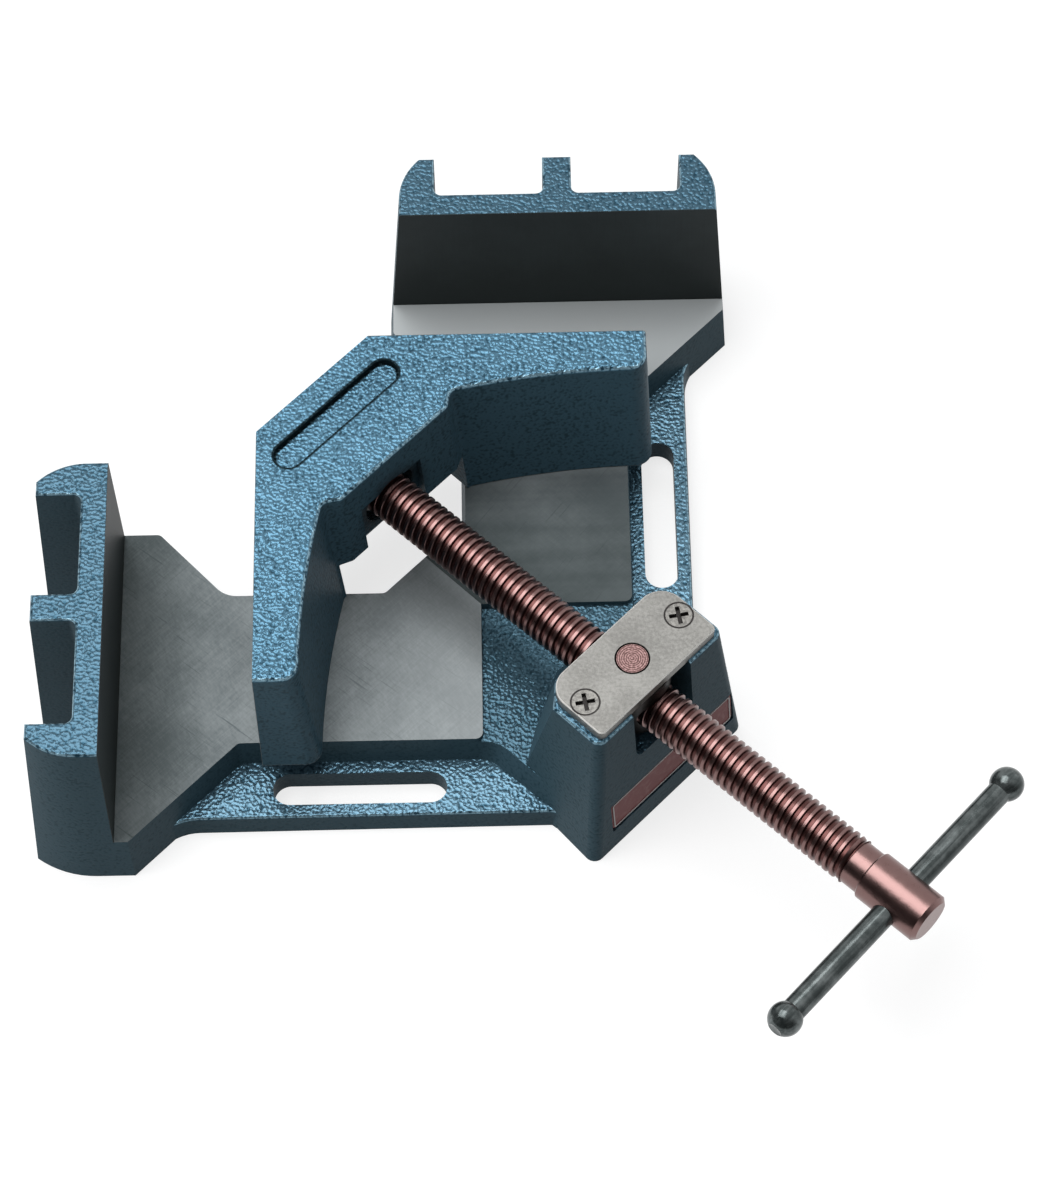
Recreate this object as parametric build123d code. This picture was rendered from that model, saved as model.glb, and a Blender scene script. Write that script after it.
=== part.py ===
from build123d import *
from math import cos, radians
import os

# Corner clamp: two fixed jaws at a right angle, and a jaw that a screw drives along the diagonal between
# them. Millimetres, +Z up. Shapes are drawn in the corner frame: the fixed jaw faces are the planes x = 0 and
# y = 0, the clamp lies in +x and -y, and z = 0 is the underside. At export they move so that the nut's pivot
# axis is the origin. Across the diagonal the frame is (d, n): d runs from the corner to the handle, n to its
# left. Castings are the same on both sides of the diagonal, so one side is drawn and mirrored.

# Fixed jaws: lengths at the top, and what they gain from there down to the underside
JAW_START = 93.0            # from the corner to the near end
JAW_LENGTH = 105.0
JAW_TOP = 75.0
JAW_PLATE = 8.3             # thickness between the ribs
JAW_DEPTH = 22.8            # over the ribs
JAW_BACK_SPREAD = 3.8
JAW_END_FLAT = 7.0          # straight part of each end, from the jaw face
JAW_END_SWEEP = 6.7         # how far the rounded part of an end falls back
END_RIB = 11.7
MID_RIB = 9.5
RIB_POCKET_RADIUS = 2.5

# Tracks: machined floor in front of each fixed jaw
FLOOR = 21.6
TRACK_START = 20.0          # from the jaw's near end to the edge at the open corner
TRACK_INSET = 30.7          # from the jaw's far end back to the track's outer side
TRACK_NOSE = 26.7           # bevel where the inner edges of the tracks meet
TRACK_CORNER = 2.5          # rounding of the floor's outward corners
TRACK_HOLLOW = 9.0          # and of its inward ones, at the open corner
NEAR_APRON = 11.8           # how far the floor follows each end of the jaw before it slants away
FAR_APRON = 4.5
NEAR_SLANT = 22.0

# Flange with the bench slots
FLANGE = 8.9
FLANGE_WIDTH = 21.3         # beyond the track's outer side
FLANGE_COVE = 17.0
HOUSING_COVE = 5.0
SLOT_WIDTH = 11.0
SLOT_START = 49.6
SLOT_LENGTH = 56.3

# Platform between the tracks and the housing
PLATFORM_STEP = 2.0         # below the floor
PLATFORM_HALF = 31.7
PLATFORM_SPREAD = 5.0
PLATFORM_COVE = 10.0
PLATFORM_LEAD = 4.7         # from the step to where its strip leaves the track's outer side

# Pivot, and the housing that carries it
PIVOT_INSET = 2.2           # from the tracks' outer sides in to the pivot axis
SCREW_DROP = 23.0           # the screw's axis, below the tops of the jaws
HOUSING_RISE = 14.0         # the housing's top, above the screw's axis
HOUSING_LEDGE = 1.0         # what the housing's top shows round the cover plate, front and back
HOUSING_SIDE_LEDGE = 2.1
SHOULDER_WIDTH = 7.8        # slanted corners at the housing's back
SHOULDER_DEPTH = 6.5
HOUSING_CORNER = 3.5
NOSE_SPREAD = 27.0          # what the housing gains down to the underside, at the middle of its back
SHOULDER_SPREAD = 13.0
SHOULDER_SIDE_SPREAD = 4.2
SIDE_SPREAD = 7.2
FRONT_SPREAD = 5.3
CHANNEL_DROP = 12.0         # floor of the screw's way through the housing, below the axis
CHANNEL_CORNER = 3.5

# Cover plate and its screws, from the pivot
PLATE_THICKNESS = 4.0
PLATE_BACK = 12.5
PLATE_FRONT = 11.8
PLATE_HALF = 26.2
PLATE_BACK_CORNER = 8.0
PLATE_FRONT_CORNER = 2.0
PLATE_BEVEL = 0.4
COVER_SCREW_EDGE = 4.95     # from the plate's end
COVER_SCREW = 5.0
COVER_SCREW_HEAD = 9.6
COVER_SCREW_LENGTH = 13.5
CROSS_LENGTH = 6.2
CROSS_WIDTH = 1.4
CROSS_DEPTH = 1.5
CROSS_TURNS = (10, 100)

# Bare nameplate in a recess on the housing's front
NAMEPLATE_LENGTH = 56.0
NAMEPLATE_WIDTH = 15.0
NAMEPLATE_THICKNESS = 1.0
NAMEPLATE_HEIGHT = 17.5
NAMEPLATE_SHIFT = 2.5       # its middle, off the diagonal
NAMEPLATE_RECESS = 1.5

# Trunnion nut
TRUNNION = 11.0
TRUNNION_DEPTH = 12.0       # how far its lower pin reaches below the channel
NUT = 24.6
NUT_FOOT_CHAMFER = 2.0

# Spindle, from the swivel axis along its own axis towards the handle
SWING_AT_REST = 1.75        # degrees that it stands off the diagonal in the photograph
THREAD = 15.9
THREAD_END = 213.0
NECK = 14.8
NECK_LENGTH = 6.5
HEAD = 16.7
HEAD_LENGTH = 23.5
HEAD_CHAMFER = 1.4
BAR_PLACE = 12.0            # cross hole, from the head's outer end
JOURNAL = 11.0
JOURNAL_TIP = 1.2           # how far the journal reaches past the retaining ring

# Swivel in the moving jaw
SWIVEL_DEPTH = 45.6         # from the corner between the moving faces, along the diagonal
BARREL = 26.0
BARREL_FRONT = 11.0         # flats, from the swivel axis
BARREL_BACK = 9.0
BARREL_REACH = 12.0         # below the screw's axis
BARREL_RISE = 11.0          # above it
WASHER_THICKNESS = 1.4
RING_THICKNESS = 1.2
RING = 15.0
RING_GROOVE = 1.0           # depth

# Tommy bar
BAR = 7.8
BAR_LENGTH = 106.0          # between the centres of its knobs
KNOB = 11.0
KNOB_SHELL = 1.0            # what closes a knob's bore
BEVEL = 0.6                 # share of a knob's radius that its bevels leave straight
BAR_SLID = 1.1              # how far the bar stands off centre in the photograph

# Moving jaw, in the photograph's position; inner sides at the top, and what they gain down to the feet
GAP = 47.0                  # from each fixed face to the moving face opposite
NOSE_DEPTH = 25.3           # bevelled nose, from the corner between the moving faces
FOOT_LENGTH = 128.6         # of each moving face, from the other moving face
FOOT_DRAFT = 2.6
JAW_TIP = 14.2              # thickness at the end of a foot
JAW_ROOT = 21.2             # thickness at the shoulder
INNER_SPREAD = 4.9
SHOULDER_HALF = 29.1
WALL_INSET = 5.1            # from the shoulders in to the ends of the inner wall
WALL_STEP = 3.7             # from the shoulders to the inner wall, along the diagonal
TIP_RADIUS = 5.5
SHOULDER_RADIUS = 3.0
WALL_RADIUS = 2.0
JAW_RIM = 1.5
RELIEF_DROP = 12.5          # underside of the bridge between the feet, below the screw's axis
RELIEF_HALF = 28.5
SOCKET_GAP = 0.4            # beside the barrel
SOCKET_RISE = 8.7           # above the screw's axis
SOCKET_DEPTH = 0.3          # how far its back lies inside the wall's top edge
WINDOW_PLAY = 2.55          # round the screw, so that the jaw can swing on it
RECESS_LENGTH = 52.6
RECESS_WIDTH = 9.5
RECESS_DEPTH = 2.0
RECESS_SETBACK = 6.6        # from the swivel axis towards the nose
RECESS_SHIFT = 1.1

# Casting
DRAFT = 0.07                # per millimetre of height, on the base's outer sides
CAST_EDGE = 1.0             # rounding of painted top edges
HOUSING_EDGE = 1.2
OVERLAP = 0.5               # how far castings drawn apart run into each other
THROUGH = 1.0               # how far a cut runs past what it cuts
MACHINED = 1.5              # stock that is cut off the moving jaw's outer faces

# Clearances
RUNNING = 0.1               # radial, between parts that turn or slide
FLOOR_GAP = 0.3             # under the moving jaw
CHANNEL_GAP = 0.7           # beside the nut
NUT_END_GAP = 0.3           # above and below it
PIN_GAP = 0.5               # below the nut's pin, below the cover screws and round the nameplate
SHOULDER_RELIEF = 0.1       # between the screw's shoulder and the washer

ROOT2 = 2 ** 0.5
TRACK_INNER = JAW_START + TRACK_START
TRACK_OUTER = JAW_START + JAW_LENGTH - TRACK_INSET
TRACK_END = TRACK_OUTER - PLATFORM_HALF * ROOT2 - PLATFORM_LEAD
FLANGE_EDGE = TRACK_OUTER + FLANGE_WIDTH
PLATFORM = FLOOR - PLATFORM_STEP
PIVOT_SIDE = TRACK_OUTER - PIVOT_INSET
PIVOT = PIVOT_SIDE * ROOT2
SCREW_HEIGHT = JAW_TOP - SCREW_DROP
HOUSING_TOP = SCREW_HEIGHT + HOUSING_RISE
CHANNEL_FLOOR = SCREW_HEIGHT - CHANNEL_DROP
HOUSING_BACK = PIVOT - PLATE_BACK - HOUSING_LEDGE
HOUSING_FRONT = PIVOT + PLATE_FRONT + HOUSING_LEDGE
HOUSING_HALF = PLATE_HALF + HOUSING_SIDE_LEDGE
COVER_SCREW_OFFSET = PLATE_HALF - COVER_SCREW_EDGE
HEAD_END = THREAD_END + NECK_LENGTH + HEAD_LENGTH
RING_STATION = -BARREL_BACK - RUNNING
DIAGONAL = Rot(0, 0, -45)
PIVOT_AXIS = Pos(PIVOT_SIDE, -PIVOT_SIDE, 0)
MOVING_CORNER = GAP * ROOT2
WALL_HALF = SHOULDER_HALF - WALL_INSET
WALL_DEPTH = JAW_ROOT * ROOT2 + SHOULDER_HALF + WALL_STEP
SWIVEL_REACH = (PIVOT - MOVING_CORNER - SWIVEL_DEPTH) / cos(radians(SWING_AT_REST))
SPINDLE = PIVOT_AXIS * Pos(0, 0, SCREW_HEIGHT) * Rot(0, 0, -45 + SWING_AT_REST) * Pos(-SWIVEL_REACH, 0, 0)
SWIVEL = SPINDLE.position
SWIVEL_AXIS = Pos(SWIVEL.X, SWIVEL.Y, 0)
SWIVEL_OFFSET = (SWIVEL.X + SWIVEL.Y) / ROOT2
MIRROR = Plane(origin=(0, 0, 0), x_dir=(1, -1, 0), z_dir=(1, 1, 0))


def from_diagonal(d, n):
    return ((d + n) / ROOT2, (n - d) / ROOT2)


def both_sides(points):
    """Completes an outline that is given from one crossing of the diagonal to the other."""
    return points + [(-y, -x) for x, y in reversed(points)]


def section(points, z):
    return Pos(0, 0, z) * make_face(Polyline(*points, close=True))


def skin(bottom, z0, top, z1):
    """Straight-sided solid between two outlines with the same number of corners."""
    return loft([section(bottom, z0), section(top, z1)], ruled=True)


def spread(points, amount):
    """The outline moved outwards by an amount, its corners kept sharp."""
    count = len(points)
    area = sum(points[i - 1][0] * points[i][1] - points[i][0] * points[i - 1][1] for i in range(count))
    outward = amount if area > 0 else -amount
    moved = []
    for i in range(count):
        here = Vector(*points[i])
        arriving = (here - Vector(*points[i - 1])).normalized()
        leaving = (Vector(*points[(i + 1) % count]) - here).normalized()
        normals = Vector(arriving.Y + leaving.Y, -arriving.X - leaving.X)
        corner = here + normals * (outward / (1 + arriving.dot(leaving)))
        moved.append((corner.X, corner.Y))
    return moved


def along_x(radius, x0, x1):
    return Pos((x0 + x1) / 2, 0, 0) * Rot(0, 90, 0) * Cylinder(radius, x1 - x0)


def upright(radius, z0, z1):
    return Pos(0, 0, (z0 + z1) / 2) * Cylinder(radius, z1 - z0)


def block(x0, x1, y0, y1, z0, z1):
    return Pos((x0 + x1) / 2, (y0 + y1) / 2, (z0 + z1) / 2) * Box(x1 - x0, y1 - y0, z1 - z0)


def round_uprights(body, places, radius):
    """Rounds the upright edge nearest to each place, given as (x, y), halfway up the body."""
    box = body.bounding_box()
    level = (box.min.Z + box.max.Z) / 2
    standing = body.edges().filter_by(lambda edge: abs((edge @ 1 - edge @ 0).Z) > box.size.Z * 0.9)
    return fillet([standing.sort_by_distance((x, y, level))[0] for x, y in places], radius)


def mirrored_places(x, y):
    return [(x, y), (-y, -x)]


def jaw_ends(z):
    """Near and far end of the left fixed jaw at a height."""
    gain = DRAFT * (JAW_TOP - z)
    return -JAW_START + gain, -JAW_START - JAW_LENGTH - gain


def fixed_jaw_outline(z):
    near, far = jaw_ends(z)
    back = -JAW_DEPTH - JAW_BACK_SPREAD * (1 - z / JAW_TOP)
    edges = [
        Line((OVERLAP, near), (-JAW_END_FLAT, near)),
        TangentArc((-JAW_END_FLAT, near), (back, near - JAW_END_SWEEP), tangent=(-1, 0)),
        Line((back, near - JAW_END_SWEEP), (back, far + JAW_END_SWEEP)),
        TangentArc((-JAW_END_FLAT, far), (back, far + JAW_END_SWEEP), tangent=(-1, 0)),
        Line((-JAW_END_FLAT, far), (OVERLAP, far)),
        Line((OVERLAP, far), (OVERLAP, near)),
    ]
    return Pos(0, 0, z) * make_face(edges)


def fixed_jaw():
    """Plate with three ribs on its back: two at its rounded ends and one in the middle."""
    jaw = loft([fixed_jaw_outline(0), fixed_jaw_outline(JAW_TOP)], ruled=True)
    pocket_length = (JAW_LENGTH - 2 * END_RIB - MID_RIB) / 2
    for start in (END_RIB, END_RIB + pocket_length + MID_RIB):
        near = -JAW_START - start
        behind = JAW_DEPTH + JAW_BACK_SPREAD + THROUGH
        pocket = block(-behind, -JAW_PLATE, near - pocket_length, near, -THROUGH, JAW_TOP + THROUGH)
        corners = pocket.edges().filter_by(Axis.Z).group_by(Axis.X)[-1]
        jaw -= fillet(corners, RIB_POCKET_RADIUS)
    jaw -= block(0, OVERLAP + THROUGH, -2 * (JAW_START + JAW_LENGTH), 0, FLOOR, JAW_TOP + THROUGH)
    painted = [edge for edge in jaw.edges().group_by(Axis.Z)[-1] if edge.center().X < -CAST_EDGE]
    return fillet(painted, CAST_EDGE)


def tracks():
    """The machined floor, open at the corner, with drafted sides down to the underside."""
    near, far = jaw_ends(FLOOR)
    under_jaw = -JAW_PLATE / 2
    half = [
        (TRACK_INNER - TRACK_NOSE, -TRACK_INNER),
        (NEAR_APRON + NEAR_SLANT, -TRACK_INNER),
        (NEAR_APRON, near),
        (under_jaw, near),
        (under_jaw, far),
        (FAR_APRON, far),
        (FAR_APRON - far - TRACK_OUTER, -TRACK_OUTER),
        (TRACK_END, -TRACK_OUTER),
    ]
    outline = both_sides(half + [(TRACK_END, -TRACK_END)])
    outline.remove((TRACK_END, -TRACK_END))
    floor = skin(spread(outline, DRAFT * FLOOR), 0, outline, FLOOR)
    nose, hollow, apron, _, _, _, knee, step = half
    floor = round_uprights(floor, mirrored_places(*hollow), TRACK_HOLLOW)
    for corner in (nose, apron, knee, step):
        floor = round_uprights(floor, mirrored_places(*corner), TRACK_CORNER)
    return floor


def housing_outline(drop):
    """Outline with slanted back corners, at a share of the way from the top down to the underside."""
    shoulder = HOUSING_BACK - SHOULDER_SPREAD * drop
    half = [
        (HOUSING_BACK - NOSE_SPREAD * drop, 0),
        (shoulder, SHOULDER_WIDTH - HOUSING_HALF),
        (shoulder + SHOULDER_DEPTH, -HOUSING_HALF - SHOULDER_SIDE_SPREAD * drop),
        (HOUSING_FRONT + FRONT_SPREAD * drop, -HOUSING_HALF - SIDE_SPREAD * drop),
    ]
    left = [from_diagonal(d, n) for d, n in half]
    return left + [from_diagonal(d, -n) for d, n in reversed(half[1:])]


def housing():
    body = skin(housing_outline(1), 0, housing_outline(0), HOUSING_TOP)
    body = round_uprights(body, housing_outline(0.5)[3:5], HOUSING_CORNER)
    return fillet(body.edges().group_by(Axis.Z)[-1], HOUSING_EDGE)


def inside_housing(y):
    """Place just inside the foot of the housing's side, at a given y."""
    start, end = [Vector(*corner) for corner in housing_outline(1)[2:4]]
    place = start + (end - start) * ((y - start.Y) / (end.Y - start.Y))
    return (place.X + OVERLAP, place.Y + OVERLAP)


def flange():
    """Rim outside a track, rounded into the track's slanted side at one end and into the housing."""
    edge = -FLANGE_EDGE
    toe_y = jaw_ends(0)[1] + FLANGE / 2
    slant = FAR_APRON - jaw_ends(FLOOR)[1] + DRAFT * FLOOR * ROOT2 - 2 * OVERLAP
    knee = (slant + edge, edge)
    hip = inside_housing(edge)
    inside = -TRACK_OUTER + FLANGE
    low = [
        (knee[0], inside), (slant + toe_y, inside), (slant + toe_y, toe_y), knee, hip,
        inside_housing(edge - 2 * HOUSING_COVE), (PIVOT_SIDE, edge), (hip[0], inside),
    ]
    plate = skin(low, 0, spread(low, -DRAFT * FLANGE), FLANGE)
    plate = round_uprights(plate, [knee], FLANGE_COVE)
    plate = round_uprights(plate, [hip], HOUSING_COVE)
    top_edges = plate.edges().group_by(Axis.Z)[-1]
    outside = DRAFT * FLANGE + OVERLAP - FLANGE_EDGE
    return fillet([edge for edge in top_edges if edge.center().Y < outside], CAST_EDGE)


def platform_outline(z):
    """The tracks' outer sides run on to a strip along the diagonal that ends inside the housing."""
    drop = 1 - z / PLATFORM
    side = TRACK_OUTER + DRAFT * (FLOOR - z)
    strip = PLATFORM_HALF + PLATFORM_SPREAD * drop
    inner = TRACK_END - PLATFORM_COVE
    half = [(inner, -side), (side - strip * ROOT2, -side)]
    half.append(from_diagonal(PIVOT, -PLATFORM_HALF - PLATFORM_SPREAD * drop / 2))
    return both_sides(half) + [(TRACK_END, -TRACK_END)]


def platform():
    body = skin(platform_outline(0), 0, platform_outline(PLATFORM), PLATFORM)
    knee = platform_outline(PLATFORM / 2)[1]
    return round_uprights(body, mirrored_places(*knee), PLATFORM_COVE)


def bench_slot():
    middle = (TRACK_OUTER + FLANGE_EDGE) / 2
    shape = extrude(SlotOverall(SLOT_LENGTH, SLOT_WIDTH), FLANGE + THROUGH, both=True)
    return Pos(SLOT_START + SLOT_LENGTH / 2, -middle, 0) * shape


def channel():
    """The screw's way through the housing, as wide as the nut needs and open up to the cover plate."""
    half = NUT / 2 + CHANNEL_GAP
    reach = HOUSING_HALF + NOSE_SPREAD
    way = block(PIVOT - reach, PIVOT + reach, -half, half, CHANNEL_FLOOR, HOUSING_TOP + THROUGH)
    return DIAGONAL * fillet(way.edges().filter_by(Axis.X).group_by(Axis.Z)[0], CHANNEL_CORNER)


def base_casting():
    arm = fixed_jaw() + flange()
    base = arm + mirror(arm, about=MIRROR) + platform() + tracks() + housing()
    base -= bench_slot()
    base -= mirror(bench_slot(), about=MIRROR)
    base -= channel()
    pin_floor = CHANNEL_FLOOR - TRUNNION_DEPTH - PIN_GAP
    base -= PIVOT_AXIS * upright(TRUNNION / 2 + RUNNING, pin_floor, HOUSING_TOP)
    for place in cover_screw_places():
        base -= place * upright(COVER_SCREW / 2, -COVER_SCREW_LENGTH - PIN_GAP, 0)
    recess = Box(NAMEPLATE_LENGTH + 2 * PIN_GAP, NAMEPLATE_WIDTH + 2 * PIN_GAP, 2 * NAMEPLATE_RECESS)
    return base - nameplate_face() * recess


def cover_screw_places():
    """Top of each cover screw, flush with the cover plate."""
    spots = [from_diagonal(PIVOT, side * COVER_SCREW_OFFSET) for side in (-1, 1)]
    return [Pos(x, y, HOUSING_TOP + PLATE_THICKNESS) for x, y in spots]


def nameplate_face():
    """Plane on the drafted front of the housing, x along the nameplate, y up the face, z out of it."""
    lean = FRONT_SPREAD / HOUSING_TOP
    x, y = from_diagonal(HOUSING_FRONT + FRONT_SPREAD - lean * NAMEPLATE_HEIGHT, NAMEPLATE_SHIFT)
    out = Vector(1 / ROOT2, -1 / ROOT2, lean)
    return Plane(origin=(x, y, NAMEPLATE_HEIGHT), x_dir=(1, 1, 0), z_dir=out).location


def nameplate():
    plate = Box(NAMEPLATE_LENGTH, NAMEPLATE_WIDTH, NAMEPLATE_THICKNESS)
    return nameplate_face() * Pos(0, 0, NAMEPLATE_THICKNESS / 2 - NAMEPLATE_RECESS) * plate


def cover_plate():
    plate = block(-PLATE_BACK, PLATE_FRONT, -PLATE_HALF, PLATE_HALF, 0, PLATE_THICKNESS)
    corners = plate.edges().filter_by(Axis.Z).group_by(Axis.X)
    plate = fillet(corners[0], PLATE_BACK_CORNER)
    plate = fillet(plate.edges().filter_by(Axis.Z).group_by(Axis.X)[-1], PLATE_FRONT_CORNER)
    plate = chamfer(plate.edges().group_by(Axis.Z)[-1], PLATE_BEVEL)
    plate = PIVOT_AXIS * Pos(0, 0, HOUSING_TOP) * DIAGONAL * plate
    pin = TRUNNION / 2 + RUNNING
    plate -= PIVOT_AXIS * upright(pin, HOUSING_TOP - THROUGH, HOUSING_TOP + PLATE_THICKNESS + THROUGH)
    for place in cover_screw_places():
        plate -= place * upright(COVER_SCREW / 2, -2 * PLATE_THICKNESS, 0)
        plate -= place * countersink()
    return plate


def countersink():
    depth = (COVER_SCREW_HEAD - COVER_SCREW) / 2
    return Pos(0, 0, -depth / 2) * Cone(COVER_SCREW / 2, COVER_SCREW_HEAD / 2, depth)


def cover_screw():
    screw = countersink() + upright(COVER_SCREW / 2, -COVER_SCREW_LENGTH, -1)
    for turn in CROSS_TURNS:
        slit = Box(CROSS_LENGTH, CROSS_WIDTH, 2 * CROSS_DEPTH)
        screw -= Rot(0, 0, turn) * slit
    return screw


def trunnion_nut():
    """Round nut that turns between the channel's floor and the cover plate, on a pin at each end."""
    nut = upright(NUT / 2, CHANNEL_FLOOR + NUT_END_GAP, HOUSING_TOP - NUT_END_GAP)
    nut = chamfer(nut.edges().group_by(Axis.Z)[0], NUT_FOOT_CHAMFER)
    nut += upright(TRUNNION / 2, CHANNEL_FLOOR - TRUNNION_DEPTH, HOUSING_TOP + PLATE_THICKNESS)
    nut = chamfer(nut.edges().group_by(Axis.Z)[-1], PIN_GAP)
    bore = along_x(THREAD / 2 + RUNNING, SWIVEL_REACH - NUT, SWIVEL_REACH + NUT)
    return PIVOT_AXIS * nut - SPINDLE * bore


def spindle():
    """Journal through the barrel, threaded length, plain neck, and head with a cross hole."""
    shoulder = BARREL_FRONT + WASHER_THICKNESS + SHOULDER_RELIEF
    neck_end = THREAD_END + NECK_LENGTH
    screw = along_x(THREAD / 2, shoulder, THREAD_END)
    screw = chamfer(screw.edges().group_by(Axis.X)[0], PIN_GAP)
    screw += along_x(NECK / 2, THREAD_END - 1, neck_end + 1)
    head = along_x(HEAD / 2, neck_end, HEAD_END)
    head = chamfer(head.edges().group_by(Axis.X)[-1], HEAD_CHAMFER)
    head = chamfer(head.edges().group_by(Axis.X)[0], PIN_GAP)
    journal = along_x(JOURNAL / 2, RING_STATION - RING_THICKNESS - JOURNAL_TIP, shoulder + 1)
    journal = chamfer(journal.edges().group_by(Axis.X)[0], PIN_GAP)
    journal -= retaining_groove(JOURNAL)
    screw += head + journal
    screw -= Pos(HEAD_END - BAR_PLACE, 0, 0) * Rot(90, 0, 0) * Cylinder(BAR / 2 + RUNNING, 2 * HEAD)
    return SPINDLE * screw


def retaining_groove(outer):
    """Ring-shaped space from the groove's floor out to a diameter."""
    outside = along_x(outer / 2, RING_STATION - RING_THICKNESS, RING_STATION)
    return outside - along_x(JOURNAL / 2 - RING_GROOVE, RING_STATION - 2 * RING_THICKNESS, RING_STATION + 1)


def retaining_ring():
    return SPINDLE * retaining_groove(RING)


def thrust_washer():
    washer = along_x(THREAD / 2 - PIN_GAP, BARREL_FRONT, BARREL_FRONT + WASHER_THICKNESS)
    return SPINDLE * (washer - along_x(JOURNAL / 2 + RUNNING, 0, 2 * BARREL_FRONT))


def swivel_barrel():
    """Round barrel upright in the moving jaw, with flats that the washer and the retaining ring bear on."""
    barrel = upright(BARREL / 2, -BARREL_REACH, BARREL_RISE)
    barrel = chamfer(barrel.edges().group_by(Axis.Z)[-1], CAST_EDGE)
    barrel &= block(-BARREL_BACK, BARREL_FRONT, -BARREL, BARREL, -BARREL, BARREL)
    return SPINDLE * (barrel - along_x(JOURNAL / 2 + RUNNING, -BARREL, BARREL))


def inner_side(gain):
    """Corners of a foot's inner side, tip to bridge, where it has gained an amount on the top."""
    root = (GAP + JAW_ROOT + gain) * ROOT2 + SHOULDER_HALF
    tip = (GAP + JAW_TIP + gain, -GAP - FOOT_LENGTH)
    wall = MOVING_CORNER + WALL_DEPTH + gain
    return tip, from_diagonal(root, -SHOULDER_HALF), from_diagonal(wall, -WALL_HALF)


def moving_jaw_outline(z, gain, lean):
    """Half of it runs along a foot's outer face, round its tip and back on an arc to the inner wall."""
    tip, shoulder, wall = inner_side(gain)
    tip = (tip[0], tip[1] + lean)
    nose = from_diagonal(MOVING_CORNER + NOSE_DEPTH - MACHINED, -NOSE_DEPTH - MACHINED)
    heel = (nose[0], tip[1])
    inside = TangentArc(tip, shoulder, tangent=(0, 1))
    half = [Line(nose, heel), Line(heel, tip), inside, Line(shoulder, wall)]
    other = [mirror(edge, about=MIRROR) for edge in reversed(half)]
    across = [Line(wall, (-wall[1], -wall[0])), Line((-nose[1], -nose[0]), nose)]
    return Pos(0, 0, z) * make_face(half + other + across)


def machined(body):
    """Cuts the moving jaw's outer faces square to the fixed jaws, and its nose across the diagonal."""
    far = 2 * FOOT_LENGTH
    body &= block(GAP, GAP + far, -GAP - far, -GAP, 0, JAW_TOP)
    start = MOVING_CORNER + NOSE_DEPTH
    return body & (DIAGONAL * block(start, start + far, -far, far, 0, JAW_TOP))


def is_painted(point):
    """True for a place on the moving jaw's rim that is off its machined faces."""
    clear = CAST_EDGE
    off_faces = point.X > GAP + clear and point.Y < -GAP - clear
    return off_faces and (point.X - point.Y) / ROOT2 > MOVING_CORNER + NOSE_DEPTH + clear


def moving_jaw():
    """Bridge with two feet: the outer faces stand square, the inner side is drafted towards the top."""
    foot = moving_jaw_outline(FLOOR + FLOOR_GAP, INNER_SPREAD, 0)
    top = moving_jaw_outline(JAW_TOP, 0, FOOT_DRAFT)
    jaw = loft([foot, top], ruled=True)
    tip, shoulder, wall = inner_side(INNER_SPREAD / 2)
    jaw = round_uprights(jaw, mirrored_places(*tip), TIP_RADIUS)
    jaw = round_uprights(jaw, mirrored_places(*shoulder), SHOULDER_RADIUS)
    jaw = round_uprights(jaw, mirrored_places(*wall), WALL_RADIUS)
    jaw = machined(jaw)
    jaw = fillet([edge for edge in jaw.edges().group_by(Axis.Z)[-1] if is_painted(edge.center())], JAW_RIM)
    far = 2 * WALL_DEPTH
    relief = SCREW_HEIGHT - RELIEF_DROP
    jaw -= DIAGONAL * block(MOVING_CORNER, MOVING_CORNER + far, -RELIEF_HALF, RELIEF_HALF, 0, relief)
    back = MOVING_CORNER + WALL_DEPTH - SOCKET_DEPTH
    side = BARREL / 2 + SOCKET_GAP
    roof = SCREW_HEIGHT + SOCKET_RISE
    jaw -= DIAGONAL * Pos(0, SWIVEL_OFFSET, 0) * block(back, back + far, -side, side, 0, roof)
    jaw -= SWIVEL_AXIS * upright(BARREL / 2 + RUNNING, 0, SCREW_HEIGHT + BARREL_RISE + RUNNING)
    jaw -= SPINDLE * along_x(THREAD / 2 + WINDOW_PLAY, 0, WALL_DEPTH)
    recess = extrude(SlotOverall(RECESS_LENGTH, RECESS_WIDTH), RECESS_DEPTH, both=True)
    middle = MOVING_CORNER + SWIVEL_DEPTH - RECESS_SETBACK
    return jaw - DIAGONAL * Pos(middle, SWIVEL_OFFSET + RECESS_SHIFT, JAW_TOP) * Rot(0, 0, 90) * recess


def in_head(shape):
    """Places what is drawn round the middle of the tommy bar, the bar along y, in the spindle's head."""
    return SPINDLE * Pos(HEAD_END - BAR_PLACE, -BAR_SLID, 0) * shape


def bar_reach():
    """From the bar's middle to each end, inside the knobs."""
    return BAR_LENGTH / 2 + KNOB / 2 - KNOB_SHELL


def tommy_bar():
    return in_head(Rot(90, 0, 0) * Cylinder(BAR / 2, 2 * bar_reach()))


def bar_knob(side):
    """Turned knob with bevelled shoulders, closed at its outer end."""
    half = KNOB / 2
    bevel = half * (1 - BEVEL)
    knob = Rot(90, 0, 0) * Cylinder(half, KNOB)
    knob = chamfer(knob.edges(), bevel)
    knob = Pos(0, side * BAR_LENGTH / 2, 0) * knob
    return in_head(knob - Rot(90, 0, 0) * Cylinder(BAR / 2, 2 * bar_reach()))


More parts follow.
